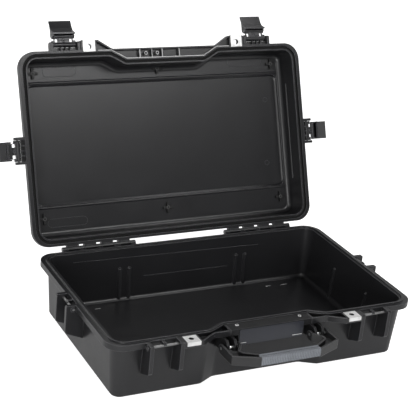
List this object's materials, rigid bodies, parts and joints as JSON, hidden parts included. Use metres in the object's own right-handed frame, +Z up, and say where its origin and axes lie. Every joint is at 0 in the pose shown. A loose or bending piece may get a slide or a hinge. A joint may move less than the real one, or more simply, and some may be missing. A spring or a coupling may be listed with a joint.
{
  "type": "tool case",
  "caption": "Shallow hard case with a hinged lid held open, folding front handle, two-piece claw latches on front and sides, and steel-lined padlock lugs.",
  "frame": {"origin": "on the floor plane, in the case's middle plane, midway between the rim's front and back edges", "axes": "+X to the right seen from the front, along the case's width; +Y to the back, where the hinges are; +Z up"},
  "size_m": [0.6352, 0.5494, 0.4323],
  "materials": {
    "shell_plastic": "fine moulded texture, black",
    "latch_plastic": "satin, dark grey",
    "plate_plastic": "satin, slate grey",
    "grip_rubber": "ribbed, slate grey",
    "seal_rubber": "matt, black",
    "plate_steel": "bright",
    "steel": "drawn"
  },
  "bodies": {
    "base": {"base_shell": "shell_plastic", "handle_bracket": "shell_plastic", "bracket_screws": "steel", "name_plate": "plate_plastic", "base_padlock_plate_left": "plate_steel", "base_padlock_plate_right": "plate_steel", "hinge_pin_left": "steel", "hinge_pin_right": "steel", "handle_pin_left": "steel", "handle_pin_right": "steel", "catch_pin_front_left": "steel", "catch_pin_front_right": "steel", "catch_pin_side_left": "steel", "catch_pin_side_right": "steel"},
    "lid": {"lid_shell": "shell_plastic", "lid_seal": "seal_rubber", "lid_padlock_plate_left": "plate_steel", "lid_padlock_plate_right": "plate_steel", "link_pin_front_left": "steel", "link_pin_front_right": "steel", "link_pin_side_left": "steel", "link_pin_side_right": "steel"},
    "handle": {"handle_frame": "latch_plastic", "handle_grip": "grip_rubber"},
    "link_front_left": {"latch_link_front_left": "latch_plastic", "lever_pin_front_left": "steel"},
    "lever_front_left": {"latch_lever_front_left": "latch_plastic"},
    "link_front_right": {"latch_link_front_right": "latch_plastic", "lever_pin_front_right": "steel"},
    "lever_front_right": {"latch_lever_front_right": "latch_plastic"},
    "link_side_left": {"latch_link_side_left": "latch_plastic", "lever_pin_side_left": "steel"},
    "lever_side_left": {"latch_lever_side_left": "latch_plastic"},
    "link_side_right": {"latch_link_side_right": "latch_plastic", "lever_pin_side_right": "steel"},
    "lever_side_right": {"latch_lever_side_right": "latch_plastic"}
  },
  "joints": [
    {"name": "lid_hinge", "type": "hinge", "parent": "base", "child": "lid", "pos_m": [0, 0.1645, 0.09515], "axis": [1, 0, 0], "range_deg": [0, 112.5]},
    {"name": "handle_fold", "type": "hinge", "parent": "base", "child": "handle", "pos_m": [0, -0.17, 0.0745], "axis": [1, 0, 0], "range_deg": [0, 88]},
    {"name": "latch_swing_front_left", "type": "hinge", "parent": "lid", "child": "link_front_left", "pos_m": [-0.1775, 0.29992, 0.39895], "axis": [1, 0, 0], "range_deg": [0, 90]},
    {"name": "latch_lever_front_left", "type": "hinge", "parent": "link_front_left", "child": "lever_front_left", "pos_m": [-0.1775, 0.30666, 0.41131], "axis": [1, 0, 0], "range_deg": [-35, 0]},
    {"name": "latch_swing_front_right", "type": "hinge", "parent": "lid", "child": "link_front_right", "pos_m": [0.1775, 0.29992, 0.39895], "axis": [1, 0, 0], "range_deg": [0, 90]},
    {"name": "latch_lever_front_right", "type": "hinge", "parent": "link_front_right", "child": "lever_front_right", "pos_m": [0.1775, 0.30666, 0.41131], "axis": [1, 0, 0], "range_deg": [-35, 0]},
    {"name": "latch_swing_side_left", "type": "hinge", "parent": "lid", "child": "link_side_left", "pos_m": [-0.27, 0.23582, 0.2442], "axis": [0, 0.3827, 0.9239], "range_deg": [0, 90]},
    {"name": "latch_lever_side_left", "type": "hinge", "parent": "link_side_left", "child": "lever_side_left", "pos_m": [-0.284, 0.2372, 0.24363], "axis": [0, 0.3827, 0.9239], "range_deg": [-35, 0]},
    {"name": "latch_swing_side_right", "type": "hinge", "parent": "lid", "child": "link_side_right", "pos_m": [0.27, 0.23582, 0.2442], "axis": [0, -0.3827, -0.9239], "range_deg": [0, 90]},
    {"name": "latch_lever_side_right", "type": "hinge", "parent": "link_side_right", "child": "lever_side_right", "pos_m": [0.284, 0.2372, 0.24363], "axis": [0, -0.3827, -0.9239], "range_deg": [-35, 0]}
  ]
}
